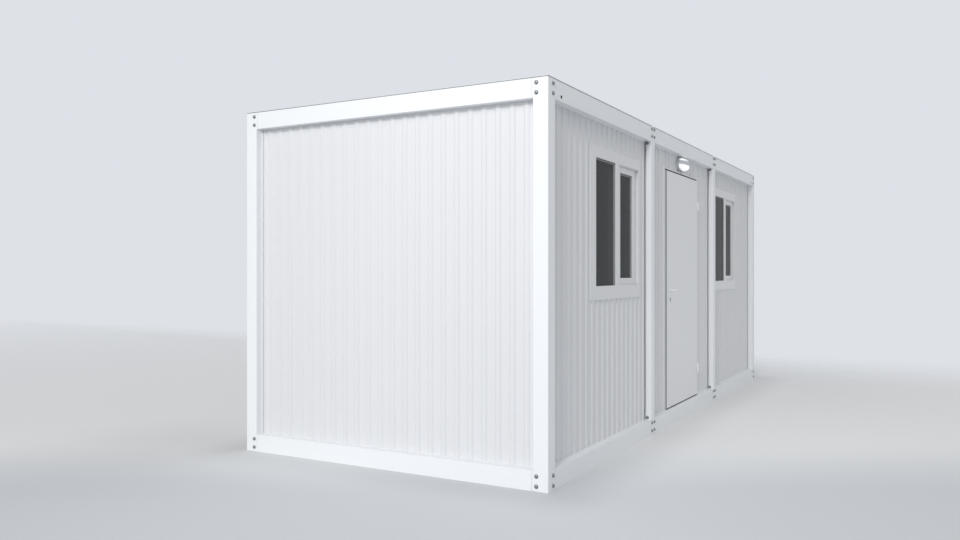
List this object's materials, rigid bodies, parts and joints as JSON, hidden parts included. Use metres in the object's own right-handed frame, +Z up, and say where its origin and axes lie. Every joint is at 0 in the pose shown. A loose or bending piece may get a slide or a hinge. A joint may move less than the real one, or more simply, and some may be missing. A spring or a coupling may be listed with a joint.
{
  "type": "modular container cabin",
  "caption": "White flat-pack site cabin of framed modules bolted side by side, with ribbed walls, a hinged door, windows and a lamp over the door.",
  "frame": {"origin": "on the ground at the middle of the cabin's plan", "axes": "+Z up, the door and windows face -Y, the long side runs along X with the plain end wall at each end"},
  "size_m": [6.06, 2.46, 2.487],
  "materials": {
    "white_steel": "satin white powder coat on folded sheet steel",
    "wall_steel": "satin white coil-coated ribbed sheet",
    "roof_steel": "satin white coated sheet",
    "floor_board": "sealed board with a plain grey vinyl top",
    "door_steel": "satin white coated steel",
    "hinge_steel": "satin",
    "handle_metal": "satin anodised",
    "window_plastic": "white window profile, semi-gloss",
    "window_glass": "clear pane with a dark room behind",
    "lamp_body": "white moulding",
    "lamp_cover": "opal cover"
  },
  "bodies": {
    "cabin": {"front_left_post": "white_steel", "front_right_post": "white_steel", "rear_left_post": "white_steel", "rear_right_post": "white_steel", "front_junction_posts_1": "white_steel", "front_junction_posts_2": "white_steel", "rear_junction_posts_1": "white_steel", "rear_junction_posts_2": "white_steel", "front_bottom_rails": "white_steel", "front_top_rails": "white_steel", "rear_bottom_rails": "white_steel", "rear_top_rails": "white_steel", "left_bottom_rail": "white_steel", "right_bottom_rail": "white_steel", "left_top_rail": "white_steel", "right_top_rail": "white_steel", "inner_bottom_rails": "white_steel", "inner_top_rails": "white_steel", "floor_decks": "floor_board", "roof_panels": "roof_steel", "roof_joint_covers": "white_steel", "left_end_wall": "wall_steel", "right_end_wall": "wall_steel", "rear_wall_1": "wall_steel", "rear_wall_2": "wall_steel", "rear_wall_3": "wall_steel", "front_wall_left": "wall_steel", "front_wall_right": "wall_steel", "door_wall_left": "wall_steel", "door_wall_right": "wall_steel", "door_wall_over": "wall_steel", "door_frame": "door_steel", "door_hinge_pins": "hinge_steel", "left_window_frame": "window_plastic", "left_window_sash": "window_plastic", "left_window_glass": "window_glass", "right_window_frame": "window_plastic", "right_window_sash": "window_plastic", "right_window_glass": "window_glass", "lamp_base": "lamp_body", "lamp_diffuser": "lamp_cover"},
    "door": {"door_leaf": "door_steel", "door_hinge_sleeves": "hinge_steel", "door_handle_plates": "handle_metal"},
    "lever": {"door_lever": "handle_metal"}
  },
  "joints": [
    {"name": "door_hinge", "type": "hinge", "parent": "cabin", "child": "door", "pos_m": [0.497, -1.189, 0.133], "axis": [0, 0, 1], "range_deg": [0, 120]},
    {"name": "lever_turn", "type": "hinge", "parent": "door", "child": "lever", "pos_m": [-0.4245, -1.155, 1.151], "axis": [0, 1, 0], "range_deg": [0, 40], "stiffness_Nm_per_rad": 2, "springref_deg": -34.38}
  ]
}
